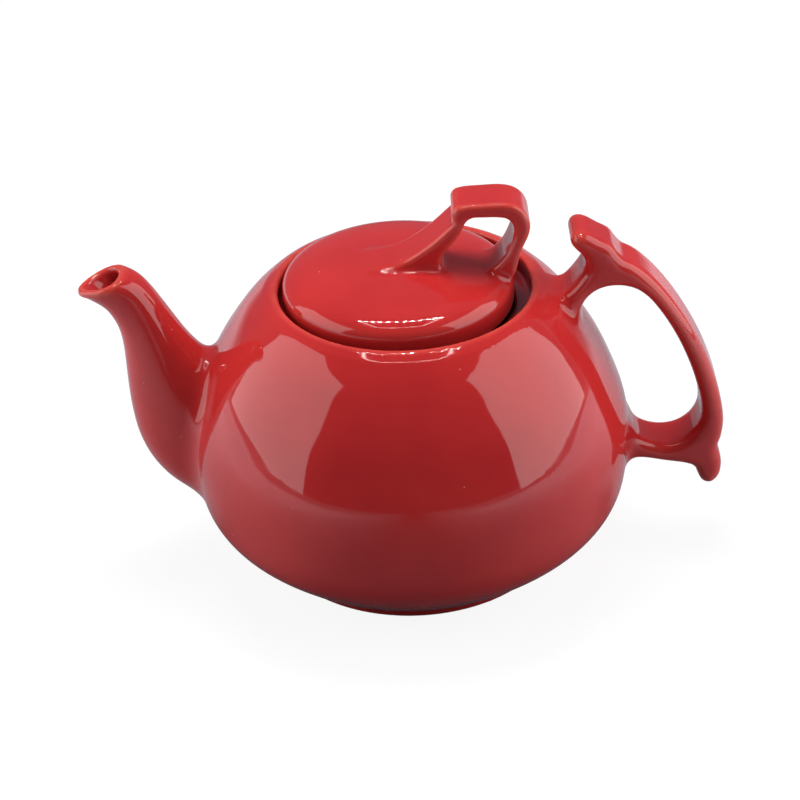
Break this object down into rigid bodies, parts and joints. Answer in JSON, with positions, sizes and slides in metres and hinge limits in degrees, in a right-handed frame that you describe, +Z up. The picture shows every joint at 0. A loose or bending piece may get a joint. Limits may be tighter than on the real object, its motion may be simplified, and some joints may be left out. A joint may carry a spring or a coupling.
{
  "type": "ceramic teapot",
  "caption": "Round glazed ceramic teapot with a curved open spout, a strap handle with thumb rest and tail, and a lift-off lid with a folded ribbon knob.",
  "frame": {"origin": "on the pot's axis at the plane the foot ring stands on, which is the bottom centre of the bounding box within 1 mm", "axes": "+Z up along the pot's axis, -X towards the spout, +X towards the handle, Y across the pot"},
  "size_m": [0.2308, 0.16, 0.1425],
  "materials": {
    "body_glaze": "gloss red glaze",
    "foot_glaze": "gloss red glaze, bare clay on the resting edge",
    "spout_glaze": "gloss red glaze",
    "handle_glaze": "gloss red glaze",
    "lid_glaze": "gloss red glaze",
    "collar_glaze": "gloss red glaze",
    "knob_glaze": "gloss red glaze"
  },
  "bodies": {
    "pot": {"body_base": "body_glaze", "body_shell": "body_glaze", "foot_ring": "foot_glaze", "spout": "spout_glaze", "handle": "handle_glaze"},
    "lid": {"lid_plate": "lid_glaze", "lid_collar": "collar_glaze", "lid_knob": "knob_glaze"}
  },
  "joints": [
    {"name": "lid_lift", "type": "slide", "parent": "pot", "child": "lid", "axis": [0, 0, 1], "range_m": [0, 0.06]}
  ]
}
